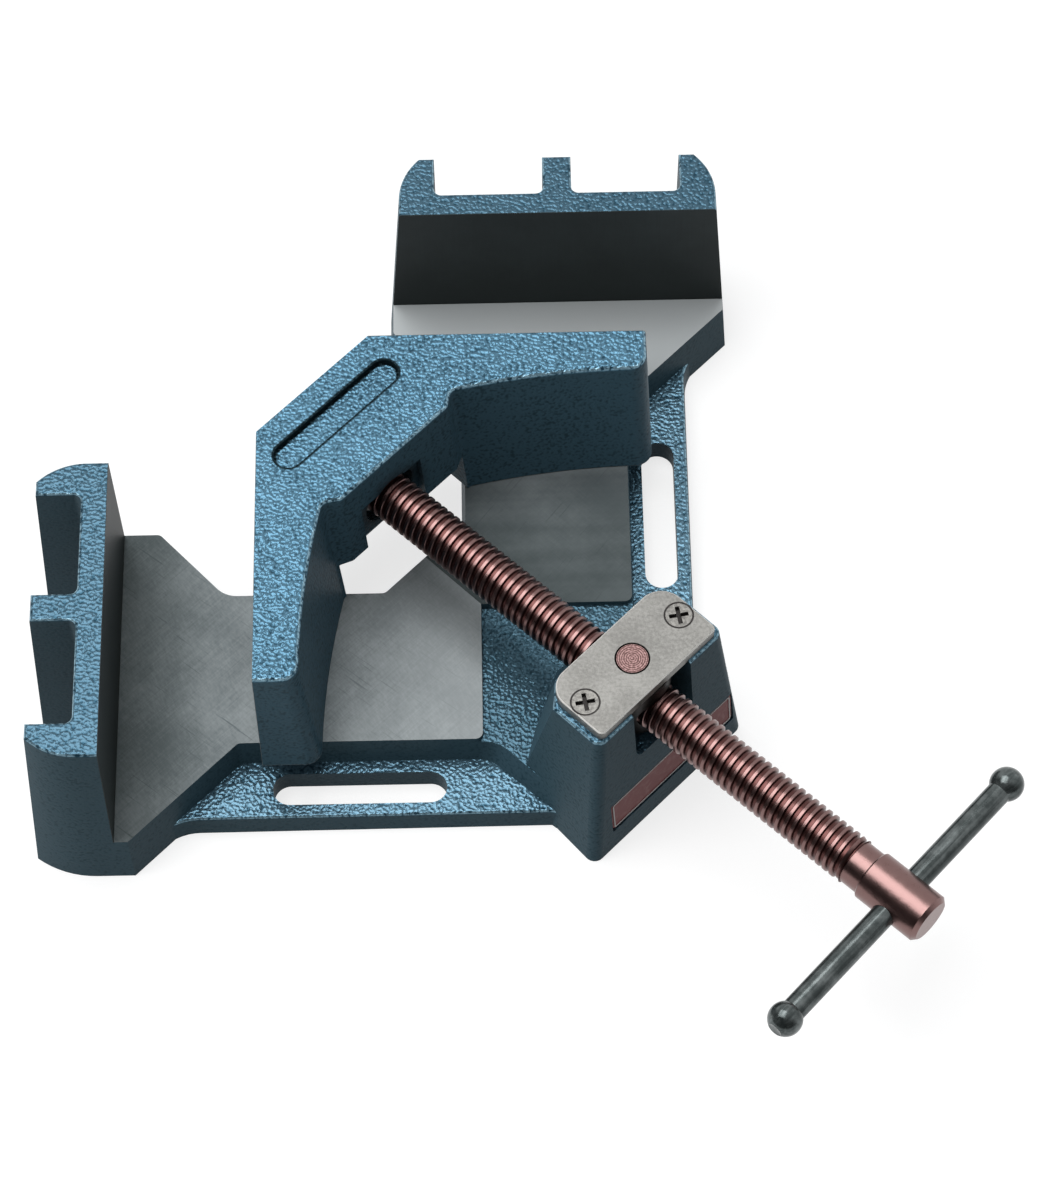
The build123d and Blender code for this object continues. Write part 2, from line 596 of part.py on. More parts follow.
pieces = {
    "base_casting": base_casting(),
    "nameplate": nameplate(),
    "cover_plate": cover_plate(),
    "cover_screws": Compound([place * cover_screw() for place in cover_screw_places()]),
    "trunnion_nut": trunnion_nut(),
    "swivel_barrel": swivel_barrel(),
    "thrust_washer": thrust_washer(),
    "spindle": spindle(),
    "retaining_ring": retaining_ring(),
    "tommy_bar": tommy_bar(),
    "left_bar_knob": bar_knob(-1),
    "right_bar_knob": bar_knob(1),
    "moving_jaw": moving_jaw(),
}
os.makedirs("parts", exist_ok=True)
for name, shape in pieces.items():
    export_step(Pos(-PIVOT_SIDE, PIVOT_SIDE, 0) * shape, "parts/" + name + ".step")
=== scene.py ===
import bmesh
import bpy
import numpy as np
from math import cos, pi, radians, sin
from mathutils import Matrix, Vector


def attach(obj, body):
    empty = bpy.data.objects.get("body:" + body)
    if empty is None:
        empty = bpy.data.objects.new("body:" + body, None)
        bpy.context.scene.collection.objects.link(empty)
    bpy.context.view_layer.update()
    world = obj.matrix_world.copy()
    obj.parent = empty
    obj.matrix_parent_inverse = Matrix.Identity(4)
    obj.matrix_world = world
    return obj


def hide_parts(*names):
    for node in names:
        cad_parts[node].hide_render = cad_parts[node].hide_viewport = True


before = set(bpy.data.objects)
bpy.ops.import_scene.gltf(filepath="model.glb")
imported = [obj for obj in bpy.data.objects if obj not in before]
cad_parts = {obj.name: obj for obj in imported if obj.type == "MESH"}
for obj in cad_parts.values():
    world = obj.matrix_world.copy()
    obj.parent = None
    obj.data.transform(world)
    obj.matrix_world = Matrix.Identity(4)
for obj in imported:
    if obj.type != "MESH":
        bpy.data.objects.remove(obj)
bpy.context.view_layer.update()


# View of the clamp. It is seen from above the handle side, about 60 degrees up and nearly along +Y,
# with a long lens, so that its verticals lean only slightly. The lens's centre and length are in pixels.
ELEVATION = radians(60.446)
TURN = radians(0.423)
ROLL = radians(-1.485)
AIM = Vector((-0.0651, 0.0551, 0.030))
STAND_OFF = Vector((0.024623, 0.000183, 1.304271))
PICTURE_WIDTH = 1045
PICTURE_HEIGHT = 1200
LENS_CENTRE = (501.27, 571.19)
LENS_LENGTH = 3991.25
SENSOR = 36
CLIP_END = 20
back = Vector((sin(TURN) * cos(ELEVATION), -cos(TURN) * cos(ELEVATION), sin(ELEVATION)))
level = Vector((cos(TURN), sin(TURN), 0))
upright = back.cross(level)
right = level * cos(ROLL) + upright * sin(ROLL)
up = -level * sin(ROLL) + upright * cos(ROLL)
lens = bpy.data.cameras.new("view")
lens.sensor_fit = "AUTO"
lens.sensor_width = SENSOR
lens.lens = SENSOR * LENS_LENGTH / PICTURE_HEIGHT
lens.shift_x = (PICTURE_WIDTH / 2 - LENS_CENTRE[0]) / PICTURE_HEIGHT
lens.shift_y = (LENS_CENTRE[1] - PICTURE_HEIGHT / 2) / PICTURE_HEIGHT
lens.clip_end = CLIP_END
camera = bpy.data.objects.new("view", lens)
stand = AIM + right * STAND_OFF.x + up * STAND_OFF.y + back * STAND_OFF.z
camera.matrix_world = Matrix.Translation(stand) @ Matrix((right, up, back)).transposed().to_4x4()
bpy.context.scene.collection.objects.link(camera)
bpy.context.scene.camera = camera
bpy.context.scene.view_settings.view_transform = "Standard"


# Bench. A pale matt sheet that runs well past the view in every direction, with the clamp's shadow on it. It shows
# white to the eye and in polished metal, but lights the castings as a mid grey, so that their sides stay dark.
class Signal:
    """One output socket of a material. Arithmetic on it adds the Math nodes; a vector is never fed to them."""

    def __init__(self, finish, socket):
        self.finish = finish
        self.socket = socket

    def maths(self, operation, *values):
        return self.finish.node("ShaderNodeMath", {"operation": operation}, dict(enumerate(values)))

    def __add__(self, other):
        return self.maths("ADD", self, other)

    def __radd__(self, other):
        return self.maths("ADD", other, self)

    def __sub__(self, other):
        return self.maths("SUBTRACT", self, other)

    def __rsub__(self, other):
        return self.maths("SUBTRACT", other, self)

    def __mul__(self, other):
        return self.maths("MULTIPLY", self, other)

    def __rmul__(self, other):
        return self.maths("MULTIPLY", other, self)

    def __gt__(self, other):
        return self.maths("GREATER_THAN", self, other)

    def __lt__(self, other):
        return self.maths("LESS_THAN", self, other)

    def __abs__(self):
        return self.maths("ABSOLUTE", self)

    def most(self, other):
        return self.maths("MAXIMUM", self, other)

    def least(self, other):
        return self.maths("MINIMUM", self, other)

    def root(self):
        return self.maths("SQRT", self)

    def sine(self):
        return self.maths("SINE", self)

    def ramp(self, low, high):
        """0 below low, 1 above high, smooth between."""
        sockets = {"Value": self, "From Min": low, "From Max": high}
        return self.finish.node("ShaderNodeMapRange", {"interpolation_type": "SMOOTHSTEP"}, sockets)


class Finish:
    """A material: its nodes, and the Principled shader that they feed."""

    def __init__(self, name, **constants):
        self.material = bpy.data.materials.new(name)
        self.material.use_nodes = True
        self.tree = self.material.node_tree
        self.shader = self.tree.nodes["Principled BSDF"]
        self.feed(**constants)

    def connect(self, socket, value):
        if isinstance(value, Signal):
            self.tree.links.new(value.socket, socket)
        else:
            socket.default_value = value

    def node(self, kind, settings, sockets, output=0):
        made = self.tree.nodes.new(kind)
        for name, value in settings.items():
            setattr(made, name, value)
        for key, value in sockets.items():
            self.connect(made.inputs[key], value)
        return Signal(self, made.outputs[output])

    def feed(self, **sockets):
        for name, value in sockets.items():
            self.connect(self.shader.inputs[name.replace("_", " ")], value)

    def place(self):
        return self.node("ShaderNodeTexCoord", {}, {}, "Object")

    def axes(self, place):
        return [self.node("ShaderNodeSeparateXYZ", {}, {0: place}, axis) for axis in "XYZ"]

    def upward(self):
        """How far the surface faces up: 1 on level tops, 0 on upright sides."""
        normal = self.node("ShaderNodeNewGeometry", {}, {}, "Normal")
        return self.node("ShaderNodeSeparateXYZ", {}, {0: normal}, "Z")

    def stretched(self, place, size, turn):
        """The place for a noise of scale 1 whose grains have a size along X, Y and Z, turned about Z."""
        sockets = {"Vector": place, "Rotation": (0, 0, turn), "Scale": size}
        return self.node("ShaderNodeMapping", {"vector_type": "TEXTURE"}, sockets)

    def noise(self, place, scale, detail, roughness=0.5):
        sockets = {"Vector": place, "Scale": scale, "Detail": detail, "Roughness": roughness}
        return self.node("ShaderNodeTexNoise", {}, sockets, "Fac")

    def blend(self, share, first, second):
        """Mix of two colours; share 1 gives the second."""
        return self.node("ShaderNodeMix", {"data_type": "RGBA"}, {0: share, 6: first, 7: second}, 2)

    def bump(self, height, distance):
        self.feed(Normal=self.node("ShaderNodeBump", {}, {"Height": height, "Distance": distance}, "Normal"))


MERGED_WITHIN = 1e-7


def mesh_piece(name, points, faces, material):
    """A linked piece with its place in its vertices. Points that meet are merged, and faces turned outwards."""
    mesh = bpy.data.meshes.new(name)
    mesh.from_pydata(np.asarray(points).tolist(), [], faces)
    shell = bmesh.new()
    shell.from_mesh(mesh)
    bmesh.ops.remove_doubles(shell, verts=shell.verts, dist=MERGED_WITHIN)
    bmesh.ops.recalc_face_normals(shell, faces=shell.faces)
    shell.to_mesh(mesh)
    shell.free()
    mesh.materials.append(material)
    piece = bpy.data.objects.new(name, mesh)
    bpy.context.scene.collection.objects.link(piece)
    return piece


BENCH_HALF = 6.0
BENCH_LEVEL = -0.0002
BENCH_SHOWN = (0.34, 0.34, 0.34, 1)
BENCH_GLOW = (0.74, 0.74, 0.74, 1)
BENCH_LIGHT = (0.25, 0.25, 0.25, 1)
BLACK = (0, 0, 0, 1)
bench = Finish("bench", Roughness=0.9, Specular_IOR_Level=0.1, Emission_Strength=1.0)
ray_kinds = ("Is Camera Ray", "Is Glossy Ray", "Is Transmission Ray")
shown = sum(bench.node("ShaderNodeLightPath", {}, {}, kind) for kind in ray_kinds)
bench.feed(Base_Color=bench.blend(shown, BENCH_LIGHT, BENCH_SHOWN))
bench.feed(Emission_Color=bench.blend(shown, BLACK, BENCH_GLOW))
corners = [(x * BENCH_HALF, y * BENCH_HALF, BENCH_LEVEL) for x, y in ((-1, -1), (1, -1), (1, 1), (-1, 1))]
sheet = mesh_piece("bench_sheet", corners, [(0, 1, 2, 3)], bench.material)


# Light. The room is a dim even grey, and shows white behind the bench. In metal it shows white on the far side and
# dark on the near left. One wide soft box hangs over the corner, and a weak one fills from the near left.
ROOM_LIGHT = (0.285, 0.294, 0.30, 1)
ROOM_SHOWN = (1, 1, 1, 1)
ROOM_DARK = (0.05, 0.05, 0.05, 1)
FAR_SIDE = (0.45, 0.75, 0.30)
FAR_FROM = -0.05
FAR_FULL = 0.45
LIT_POINT = Vector((-0.05, 0.05, 0))


class Room(Finish):
    """The light of the room, made of the same nodes as a material."""

    def __init__(self, name):
        self.world = bpy.data.worlds.new(name)
        self.world.use_nodes = True
        self.tree = self.world.node_tree
        self.shader = self.tree.nodes["Background"]


room = Room("room")
facing = room.node("ShaderNodeTexCoord", {}, {}, "Generated")
far = room.node("ShaderNodeVectorMath", {"operation": "DOT_PRODUCT"}, {0: facing, 1: FAR_SIDE}, "Value")
far = room.node("ShaderNodeMapRange", {}, {"Value": far, "From Min": FAR_FROM, "From Max": FAR_FULL})
mirrored = room.blend(far, ROOM_DARK, ROOM_SHOWN)
shade = ROOM_LIGHT
for kind, colour in (("Glossy", mirrored), ("Transmission", mirrored), ("Camera", ROOM_SHOWN)):
    shade = room.blend(room.node("ShaderNodeLightPath", {}, {}, f"Is {kind} Ray"), shade, colour)
room.feed(Color=shade)
bpy.context.scene.world = room.world


def soft_box(name, place, size, power, in_metal):
    """A rectangular lamp that faces the clamp, with or without its reflection in metal."""
    lamp = bpy.data.lights.new(name, "AREA")
    lamp.shape = "RECTANGLE"
    lamp.size, lamp.size_y = size
    lamp.energy = power
    box = bpy.data.objects.new(name, lamp)
    box.location = place
    box.rotation_euler = (LIT_POINT - Vector(place)).to_track_quat("-Z", "Y").to_euler()
    box.visible_glossy = in_metal
    bpy.context.scene.collection.objects.link(box)


soft_box("overhead", place=(-0.42, 0.22, 1.5), size=(1.3, 1.15), power=21, in_metal=True)
soft_box("side_fill", place=(-1.5, -0.5, 0.9), size=(0.9, 0.9), power=7.5, in_metal=False)


# Base. One iron casting with the fixed jaws, the tracks, the flange and the nut's housing, in hammered blue paint.
# The tracks and the jaws' faces are ground bare afterwards. Painted shade darkens the left track near its jaw and
# the right track away from it, painted light brightens the left track away from its jaw and the right track near
# it, and the jaws' faces carry a painted reflection that grows brighter upwards.
FLOOR = 0.0216
FIXED_FACE = 0.1651
FLANGE_TOP = 0.0091
SKIN = 0.00015
NEARLY_LEVEL = 0.9
PAINT_DEEP = (0.022, 0.060, 0.090, 1)
PAINT_BODY = (0.060, 0.120, 0.165, 1)
PAINT_FRESH = (0.084, 0.182, 0.258, 1)
# Lighter paint on the flange, as painted light.
PAINT_FLANGE_LIT = (0.102, 0.190, 0.252, 1)
# Painted highlight on the rounded top edges.
PAINT_RIM_HIGHLIGHT = (0.300, 0.480, 0.580, 1)
# Painted shade on the upright sides and on the platform.
PAINT_SHADE = (0.030, 0.056, 0.064, 1)
PAINT_ROUGHNESS = 0.46
PAINT_GLOSS = 0.22
PAINT_FLAKE = 0.60
BEAD_SCALE = 930
CLOUD_SCALE = 45
BEAD_HEIGHT = 0.0004
GROUND = (0.105, 0.123, 0.129, 1)
GROUND_PALE = (0.265, 0.292, 0.298, 1)
# Darker ground metal, also used as painted shade on the tracks.
GROUND_DULL_AND_SHADED = (0.038, 0.049, 0.049, 1)
# Painted light on the tracks.
GROUND_LIT = (0.430, 0.455, 0.462, 1)
GROUND_ROUGHNESS = 0.42
# The jaws' faces: darker low down, with a painted reflection brighter towards the top.
FACE_DARK = (0.026, 0.032, 0.032, 1)
FACE_REFLECTION = (0.058, 0.070, 0.074, 1)
# Sizes of the grinding's marks along X, Y and Z, before they are turned.
BAND_SIZE = (0.012, 0.30, 0.05)
GRAIN_SIZE = (0.0008, 0.0025, 0.01)
SCRATCH_SIZE = (0.0005, 0.022, 0.05)
CROSSING_SIZE = (0.0004, 0.014, 0.05)
SMUDGE_SCALE = 30
# Distances from a fixed jaw where the painted shade and the painted light on its track start and end.
LEFT_SHADED_SPAN = (0.0, 0.045)
LEFT_LIT_SPAN = (0.06, 0.12)
RIGHT_SHADED_SPAN = (0.06, 0.11)
RIGHT_LIT_SPAN = (0.012, 0.055)
# Share of painted shade on the platform.
PLATFORM_SHADE = 0.30


def hammered_paint(finish, place, body):
    """Colour, roughness, flake and height of hammer paint: shallow beads a millimetre or two wide. Rounded top
    edges carry a painted highlight, and upright sides are darkened with painted shade."""
    beads = finish.noise(place, BEAD_SCALE, 0.6)
    clouds = finish.noise(place, CLOUD_SCALE, 2)
    colour = finish.blend((beads * 0.8 + clouds * 0.2).ramp(0.28, 0.52), PAINT_DEEP, body)
    upward = finish.upward()
    # Painted shade on upright sides, which are darker than level tops.
    side_shade = (1 - upward.ramp(0.1, 0.5)) * 0.6
    # Painted highlight on the rounded edges between tops and sides.
    rim = upward.ramp(0.30, 0.55) - upward.ramp(0.80, 0.96)
    colour = finish.blend(side_shade, colour, PAINT_SHADE)
    colour = finish.blend(rim * beads.ramp(0.30, 0.55) * 0.8, colour, PAINT_RIM_HIGHLIGHT)
    top = upward.ramp(0.3, 0.7)
    return colour, PAINT_ROUGHNESS - top * PAINT_GLOSS, top * PAINT_FLAKE, beads * (0.25 + top * 0.75)


def ground_metal(finish, place, shade_and_dulling, turn, grit):
    """Colour and grain of a ground face: soft bands along the grinding, smudges, fine grain and a few crossing
    scratches. Grit is the share of grain and scratches, which the bands give up. A further share darkens it:
    painted shade on the base's tracks, and an even darkening on the moving jaw."""
    bands = finish.noise(finish.stretched(place, BAND_SIZE, turn), 1, 3)
    fine = finish.noise(finish.stretched(place, GRAIN_SIZE, turn + 0.6), 1, 3, 0.7)
    scratches = finish.noise(finish.stretched(place, SCRATCH_SIZE, turn + 0.9), 1, 2)
    crossing = finish.noise(finish.stretched(place, CROSSING_SIZE, turn - 0.8), 1, 2)
    smudges = finish.noise(place, SMUDGE_SCALE, 4, 0.6)
    grain = bands * (0.56 - grit) + smudges * 0.42 + fine * grit * 0.6 + crossing * grit * 0.4
    grain = grain - scratches.ramp(0.64, 0.78) * grit * 0.5
    metal = finish.blend(grain.ramp(0.34, 0.72), GROUND, GROUND_PALE)
    return finish.blend(shade_and_dulling, metal, finish.blend(grain.ramp(0.3, 0.8), GROUND_DULL_AND_SHADED, GROUND)), grain


def feed_casting(finish, colour, texture, bare, grain, bare_sheen, bead_height):
    """Feeds the shader with the paint's roughness, flake and height where paint is left, and with the ground
    metal's where it is bare."""
    roughness, flake, height = texture
    painted = 1 - bare
    finish.feed(
        Base_Color=colour,
        Metallic=flake * painted + bare_sheen,
        Roughness=roughness * painted + (GROUND_ROUGHNESS + grain * 0.10) * bare,
    )
    finish.bump(height * painted + grain * bare * 0.04, bead_height)


def base_finish():
    """The paint of the whole casting, with bare metal wherever a point lies on a ground plane."""
    finish = Finish("base_paint", Specular_IOR_Level=0.05)
    place = finish.place()
    x, y, z = finish.axes(place)
    flat = finish.upward() > NEARLY_LEVEL
    on_flange = (z < FLANGE_TOP + SKIN) * flat
    on_platform = (z > FLANGE_TOP + SKIN) * (z < FLOOR - SKIN) * flat
    # Painted light on the flange, which is lighter.
    paint, *texture = hammered_paint(finish, place, finish.blend(on_flange, PAINT_BODY, PAINT_FLANGE_LIT))
    # Painted shade on the platform.
    paint = finish.blend(on_platform * PLATFORM_SHADE, paint, PAINT_SHADE)
    from_left = x + FIXED_FACE
    from_right = FIXED_FACE - y
    on_floor = (abs(z - FLOOR) < SKIN) * flat
    on_jaw = ((abs(from_left) < SKIN) + (abs(from_right) < SKIN)) * (z > FLOOR - SKIN)
    left_side = (x + y) < 0
    right_side = 1 - left_side
    # Painted shade on the tracks: near the left jaw, and away from the right jaw.
    left_shade = (1 - from_left.ramp(*LEFT_SHADED_SPAN)) * left_side * 0.75
    right_shade = from_right.ramp(*RIGHT_SHADED_SPAN) * right_side * 0.9
    shade_and_dulling = left_shade + right_shade
    left_metal, left_grain = ground_metal(finish, place, shade_and_dulling, turn=0.0, grit=0.36)
    right_metal, right_grain = ground_metal(finish, place, shade_and_dulling, turn=pi / 2, grit=0.14)
    # Painted light on the tracks: near the right jaw, and away from the left jaw.
    painted_light = (1 - from_right.ramp(*RIGHT_LIT_SPAN)) * right_side
    left_metal = finish.blend(from_left.ramp(*LEFT_LIT_SPAN) * 0.35, left_metal, GROUND_LIT)
    floor_metal = finish.blend(painted_light, finish.blend(left_side, right_metal, left_metal), GROUND_LIT)
    grain = left_grain * left_side + right_grain * right_side
    # The jaws' faces: grain, and a painted reflection that brightens upwards.
    face_metal = finish.blend((grain * 0.8 + (z - FLOOR) * 6).ramp(0.35, 0.95), FACE_DARK, FACE_REFLECTION)
    bare = on_floor.most(on_jaw)
    colour = finish.blend(bare, paint, finish.blend(on_jaw, floor_metal, face_metal))
    feed_casting(finish, colour, texture, bare, grain, on_floor * 0.30 + on_jaw * 0.15, BEAD_HEIGHT)
    return finish.material


def refinish(node, material):
    """Gives a piece of the CAD model one material all over."""
    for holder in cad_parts[node].material_slots:
        holder.material = material


refinish("base_casting", base_finish())


# Trunnion nut. A steel block, threaded for the screw, swings on two round pins turned in one piece with it. It is
# copper-plated, and its upper pin ends flush in the cover plate, faced on a lathe in fine rings.
PIN_RIM = 0.00505
RING_RATE = 9000
PIN_DARK = (0.090, 0.046, 0.043, 1)
PIN_PALE = (0.400, 0.250, 0.240, 1)
PIN_HEIGHT = 0.0001
# Near black: grease round the jaw's socket, and painted shade in the gaps and recesses at the nut and the cover
# screws.
GREASE_AND_SHADE = (0.010, 0.008, 0.007, 1)


def distance(first, second):
    """Distance from a point, from the distances along two directions at a right angle."""
    return (first * first + second * second).root()


def nut_finish():
    """Copper plating with fine rings round the pins' axis, and painted shade, near black, beyond the pin's rim."""
    finish = Finish("copper_nut", Metallic=0.75)
    place = finish.place()
    radius = distance(*finish.axes(place)[:2])
    rings = (radius * RING_RATE).sine()
    spots = finish.noise(place, 1400, 3, 0.7)
    copper = finish.blend((spots * 0.85 + rings * 0.10).ramp(0.34, 0.62), PIN_DARK, PIN_PALE)
    # Painted shade beyond the pin's rim, in the gap round it.
    finish.feed(Base_Color=finish.blend(radius > PIN_RIM, copper, GREASE_AND_SHADE))
    finish.feed(Roughness=0.34 + spots * 0.2)
    finish.bump(spots * 0.6 + rings * 0.05, PIN_HEIGHT)
    return finish.material


refinish("trunnion_nut", nut_finish())


# Cover plate and its two cross-head screws. A flat steel plate closes the housing over the nut, held by two
# countersunk screws. All three have pale plating, warm grey and finely mottled.
SCREW_OFFSET = 0.02125
HEAD_RIM = 0.00420
CROSS_FLOOR = 0.0692
DIAGONAL = 0.5 ** 0.5
MOTTLE_HEIGHT = 0.00006
COVER_DARK = (0.155, 0.152, 0.142, 1)
COVER_PALE = (0.255, 0.251, 0.236, 1)
# Painted highlight on the plate's bevelled edge.
COVER_HIGHLIGHT = (0.620, 0.610, 0.580, 1)
HEAD_DARK = (0.120, 0.116, 0.108, 1)
HEAD_PALE = (0.250, 0.243, 0.226, 1)


def cover_plate_finish():
    """Mottled and lightly stained plating, with a painted highlight along the bevelled edge."""
    finish = Finish("cover_plating")
    place = finish.place()
    mottle = finish.noise(place, 900, 3, 0.6)
    stains = finish.noise(place, 75, 3)
    upward = finish.upward()
    # Painted highlight on the bevelled edge.
    bevel_highlight = upward.ramp(0.4, 0.6) - upward.ramp(0.8, 0.95)
    plating = finish.blend((mottle * 0.55 + stains * 0.45).ramp(0.35, 0.65), COVER_DARK, COVER_PALE)
    finish.feed(Base_Color=finish.blend(bevel_highlight, plating, COVER_HIGHLIGHT))
    finish.feed(Roughness=0.34 + mottle * 0.14, Metallic=0.55 - bevel_highlight * 0.5)
    finish.bump(mottle, MOTTLE_HEIGHT)
    return finish.material


def on_diagonals(x, y):
    """The same place along the diagonal that crosses the screw, and along the one that it follows outwards."""
    return (x + y) * DIAGONAL, (x - y) * DIAGONAL


def cover_screw_finish():
    """The plating, with the gap round each head and the bottom of each cross darkened as painted shade."""
    finish = Finish("screw_plating", Metallic=0.6)
    place = finish.place()
    x, y, z = finish.axes(place)
    along, across = on_diagonals(x, y)
    # Painted shade in the gap round each head and at the bottom of each cross.
    recess_shade = (distance(abs(along) - SCREW_OFFSET, across) > HEAD_RIM).most(z < CROSS_FLOOR)
    mottle = finish.noise(place, 800, 3, 0.6)
    plating = finish.blend(mottle.ramp(0.3, 0.7), HEAD_DARK, HEAD_PALE)
    finish.feed(Base_Color=finish.blend(recess_shade, plating, GREASE_AND_SHADE), Roughness=0.28 + mottle * 0.14)
    finish.bump(mottle, MOTTLE_HEIGHT)
    return finish.material


refinish("cover_plate", cover_plate_finish())
refinish("cover_screws", cover_screw_finish())


# Nameplate. A bare maroon plate with rounded corners and a thin bright raised border, in a recess on the
# housing's front, which leans back a little.
PLATE_MIDDLE = Vector((0.013572, -0.010037, 0.0175))
PLATE_LEAN = 5.3 / 66
PLATE_LENGTH = 0.056
PLATE_WIDTH = 0.015
PLATE_BACK = -0.0015
PLATE_FACE = -0.0005
PLATE_CORNER = 0.0016
LEAST_CORNER = 0.0002
CORNER_STEPS = 6
BORDER_START = 0.0006
BORDER_WIDTH = 0.0005
BORDER_HEIGHT = 0.00025
MAROON = (0.210, 0.066, 0.066, 1)
MAROON_WORN = (0.290, 0.130, 0.128, 1)
BORDER_METAL = (0.620, 0.590, 0.580, 1)


def rounded_outline(inset):
    """Rounded rectangle inside the plate's edge by an inset: each corner's centre plus radius x (cos, sin)."""
    radius = max(PLATE_CORNER - inset, LEAST_CORNER)
    angle = (np.arange(4)[:, None] + np.arange(CORNER_STEPS + 1) / CORNER_STEPS) * pi / 2
    side = np.array((1, -1, -1, 1))[:, None] * (PLATE_LENGTH / 2 - inset - radius)
    rise = np.array((1, 1, -1, -1))[:, None] * (PLATE_WIDTH / 2 - inset - radius)
    return np.stack((side + radius * np.cos(angle), rise + radius * np.sin(angle)), axis=-1).reshape(-1, 2)


def ringed(points):
    """Faces of an array of points (rings, places, 3): each ring is closed, and the first and last are capped."""
    rings, places = points.shape[:2]
    corner = np.arange(rings * places).reshape(rings, places)
    beside = np.roll(corner, -1, axis=1)
    quads = np.stack((corner[:-1], beside[:-1], beside[1:], corner[1:]), axis=-1).reshape(-1, 4)
    return quads.tolist() + [corner[0].tolist(), corner[-1].tolist()]


def maroon_finish():
    """Worn maroon, and bright metal on whatever stands out past half of the border's height."""
    finish = Finish("nameplate_maroon", Metallic=0.05, Roughness=0.5, Specular_IOR_Level=0.15)
    place = finish.place()
    x, y, z = finish.axes(place)
    middle = on_diagonals(PLATE_MIDDLE.x, PLATE_MIDDLE.y)[1] + PLATE_MIDDLE.z * PLATE_LEAN
    raised = on_diagonals(x, y)[1] + z * PLATE_LEAN > middle + PLATE_FACE + BORDER_HEIGHT * 0.5
    wear = finish.noise(place, 350, 4, 0.65).ramp(0.45, 0.75)
    finish.feed(Base_Color=finish.blend(raised, finish.blend(wear, MAROON, MAROON_WORN), BORDER_METAL))
    return finish.material


def nameplate():
    """Outlines stepped inwards from the back to the face, up over the border and down inside it: the plate's
    middle + outline x (along, across) + depth x outward."""
    outward = Vector((1, -1, PLATE_LEAN * 2 ** 0.5)).normalized()
    along = Vector((1, 1, 0)).normalized()
    directions = np.array((along, outward.cross(along), outward))
    border_top = PLATE_FACE + BORDER_HEIGHT
    border_end = BORDER_START + BORDER_WIDTH
    steps = [
        (0, PLATE_BACK), (0, PLATE_FACE), (BORDER_START, PLATE_FACE),
        (BORDER_START, border_top), (border_end, border_top), (border_end, PLATE_FACE),
    ]
    flat = np.array([np.pad(rounded_outline(inset), ((0, 0), (0, 1)), constant_values=z) for inset, z in steps])
    points = np.array(PLATE_MIDDLE) + flat @ directions
    piece = mesh_piece("nameplate_dressed", points.reshape(-1, 3), ringed(points), maroon_finish())
    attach(piece, "base")
    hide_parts("nameplate")


nameplate()


# Spindle. A steel screw with a right-hand thread of square-shouldered turns, plated with copper. Its journal at the
# jaw and its cross-drilled head are the CAD solid's own.
SWIVEL = np.array((-0.088479067, 0.083232795, 0.052))
OUTWARD = np.array((0.72837097, -0.68518299, 0))
ACROSS = np.array((0.68518299, 0.72837097, 0))
UPWARD = np.array((0, 0, 1))
PITCH = 0.00275
CREST = 0.00795
ROOT = 0.00690
# Share of the pitch and share of the thread's depth, at each corner of its section.
PROFILE = np.array(((0.00, 0.0), (0.38, 0.0), (0.48, 0.88), (0.52, 1.0), (0.86, 1.0), (0.90, 0.88)))
THREAD_START = 0.0125
THREAD_END = 0.213
RUN_OUT = 0.0022
THREAD_COLUMNS = 72
SOLID_MERGED_WITHIN = 1e-6
SHARP_FROM = radians(35)
COPPER_DARK = (0.088, 0.036, 0.033, 1)
COPPER_BRIGHT = (0.212, 0.130, 0.123, 1)
TARNISH_HEIGHT = 0.00005


def thread():
    """Sheared grid: station = (turn + share of pitch + angle / full turn) x pitch, held between the thread's ends,
    and radius = root + height x depth, which runs out at both ends. The seam joins each turn to the next."""
    share, height = PROFILE.T
    turns = np.arange(int(THREAD_START / PITCH) - 2, int(THREAD_END / PITCH) + 2)
    row = (turns[:, None] + share).ravel()
    part = (np.arange(THREAD_COLUMNS) / THREAD_COLUMNS)[:, None]
    station = np.clip((row + part) * PITCH, THREAD_START, THREAD_END)
    near_end = np.clip(np.minimum(station - THREAD_START, THREAD_END - station) / RUN_OUT, 0, 1)
    radius = ROOT + (CREST - ROOT) * np.tile(height, len(turns)) * near_end
    spoke = np.cos(2 * pi * part) * ACROSS + np.sin(2 * pi * part) * UPWARD
    points = SWIVEL + station[..., None] * OUTWARD + radius[..., None] * spoke[:, None]
    corner = np.arange(station.size).reshape(station.shape)
    beside = np.roll(corner, -1, axis=0)
    beside[-1] = corner[0][np.minimum(np.arange(len(row)) + len(share), len(row) - 1)]
    quads = np.stack((corner[:, :-1], corner[:, 1:], beside[:, 1:], beside[:, :-1]), axis=-1).reshape(-1, 4)
    return points.reshape(-1, 3), quads.tolist() + [corner[:, 0].tolist(), corner[:, -1].tolist()]


def journal_and_head():
    """Vertices and faces of the CAD spindle outside the thread, each cut closed with a face."""
    vertices = []
    faces = []
    for station, side in ((THREAD_START, 1), (THREAD_END, -1)):
        shell = bmesh.new()
        shell.from_mesh(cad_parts["spindle"].data)
        bmesh.ops.remove_doubles(shell, verts=shell.verts, dist=SOLID_MERGED_WITHIN)
        everything = shell.verts[:] + shell.edges[:] + shell.faces[:]
        cut = Vector(SWIVEL + OUTWARD * station)
        cleared = Vector(OUTWARD * side)
        bmesh.ops.bisect_plane(shell, geom=everything, plane_co=cut, plane_no=cleared, clear_outer=True)
        bmesh.ops.holes_fill(shell, edges=[edge for edge in shell.edges if edge.is_boundary])
        shell.verts.index_update()
        faces += [tuple(len(vertices) + vertex.index for vertex in face.verts) for face in shell.faces]
        vertices += [tuple(vertex.co) for vertex in shell.verts]
        shell.free()
    return vertices, faces


